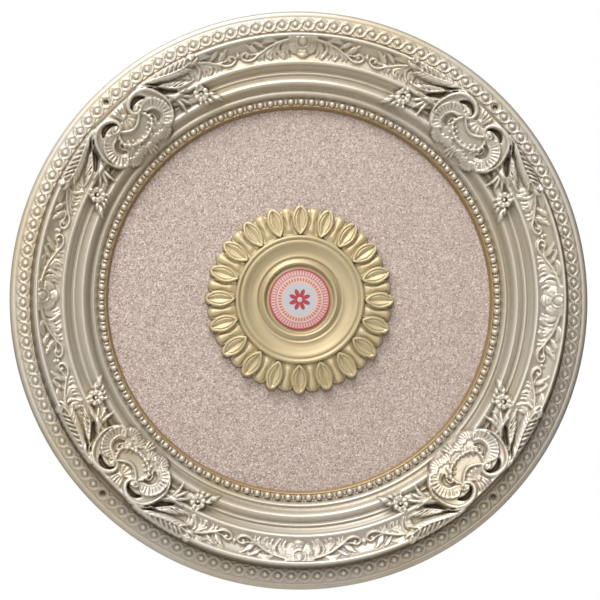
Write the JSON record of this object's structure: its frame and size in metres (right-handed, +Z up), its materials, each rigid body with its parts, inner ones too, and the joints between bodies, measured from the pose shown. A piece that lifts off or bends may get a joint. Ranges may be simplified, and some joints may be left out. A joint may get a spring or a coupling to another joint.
{
  "type": "ceiling rose",
  "caption": "Round ceiling rose: a carved champagne ring with shell cartouches round a pink glitter panel, a gold egg rosette and a round sticker.",
  "frame": {"origin": "on the axis, on the plane of the flat back that lies against the ceiling", "axes": "+Y points out of the back, into the ceiling or wall; the carved face looks towards -Y; +Z is up as the picture shows the rose"},
  "size_m": [0.6, 0.0438, 0.6],
  "materials": {
    "champagne_paint": "satin pearl paint on moulded foam",
    "glitter_sand": "pink-beige glitter sand",
    "gold_paint": "satin gold paint on moulded foam",
    "printed_paper": "printed paper sticker"
  },
  "bodies": {
    "root": {"frame_ring": "champagne_paint", "panel_disc": "glitter_sand", "centre_rosette": "gold_paint", "centre_label": "printed_paper"}
  },
  "joints": []
}
